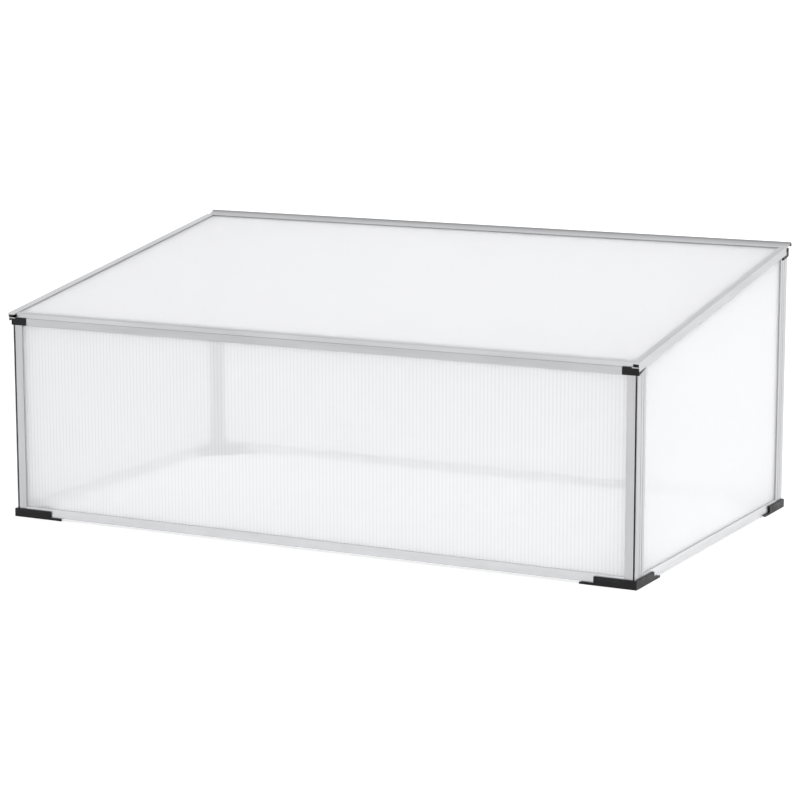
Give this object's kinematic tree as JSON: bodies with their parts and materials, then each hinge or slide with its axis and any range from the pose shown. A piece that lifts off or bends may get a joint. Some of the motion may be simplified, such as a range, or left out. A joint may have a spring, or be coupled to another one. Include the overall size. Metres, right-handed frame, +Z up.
{
  "type": "cold frame",
  "caption": "Low cold frame with a sloping lid hinged at the rear, twin-wall sheet in an aluminium frame on black plastic corner feet.",
  "frame": {"origin": "on the ground, midway between the four corner posts", "axes": "+X to the right seen from the front, +Y to the rear where the hinge is, +Z up"},
  "size_m": [1.0084, 0.5935, 0.405],
  "materials": {
    "aluminium": "satin mill finish",
    "twinwall_sheet": "clear twin-wall polycarbonate, frosted by its flutes",
    "black_plastic": "fine moulded texture",
    "screw_steel": "zinc plated"
  },
  "bodies": {
    "frame": {"front_panel": "twinwall_sheet", "rear_panel": "twinwall_sheet", "front_bottom_rail": "aluminium", "rear_bottom_rail": "aluminium", "front_top_rail": "aluminium", "rear_top_rail": "aluminium", "foot_screws": "screw_steel", "bracket_screws": "screw_steel", "rest_pegs": "screw_steel", "panel_left": "twinwall_sheet", "bottom_rail_left": "aluminium", "top_rail_left": "aluminium", "post_front_left": "aluminium", "post_rear_left": "aluminium", "foot_front_left": "black_plastic", "foot_rear_left": "black_plastic", "bracket_front_left": "black_plastic", "bracket_rear_left": "black_plastic", "panel_right": "twinwall_sheet", "bottom_rail_right": "aluminium", "top_rail_right": "aluminium", "post_front_right": "aluminium", "post_rear_right": "aluminium", "foot_front_right": "black_plastic", "foot_rear_right": "black_plastic", "bracket_front_right": "black_plastic", "bracket_rear_right": "black_plastic"},
    "lid": {"lid_panel": "twinwall_sheet", "lid_front_rail": "aluminium", "lid_hinge_rail": "aluminium", "key_screws": "screw_steel", "stay_rivets": "screw_steel", "lid_side_rail_left": "aluminium", "corner_key_front_left": "black_plastic", "corner_key_rear_left": "black_plastic", "hinge_plug_left": "black_plastic", "lid_side_rail_right": "aluminium", "corner_key_front_right": "black_plastic", "corner_key_rear_right": "black_plastic", "hinge_plug_right": "black_plastic"},
    "stay_left": {"stay_left": "aluminium"},
    "stay_right": {"stay_right": "aluminium"}
  },
  "joints": [
    {"name": "lid_hinge", "type": "hinge", "parent": "frame", "child": "lid", "pos_m": [0, 0.29303, 0.40102], "axis": [-1, 0, 0], "range_deg": [0, 80]},
    {"name": "stay_left_pivot", "type": "hinge", "parent": "lid", "child": "stay_left", "pos_m": [-0.4893, -0.10031, 0.32756], "axis": [-1, 0, 0], "range_deg": [0, 100]},
    {"name": "stay_right_pivot", "type": "hinge", "parent": "lid", "child": "stay_right", "pos_m": [0.4893, -0.10031, 0.32756], "axis": [-1, 0, 0], "range_deg": [0, 100]}
  ]
}
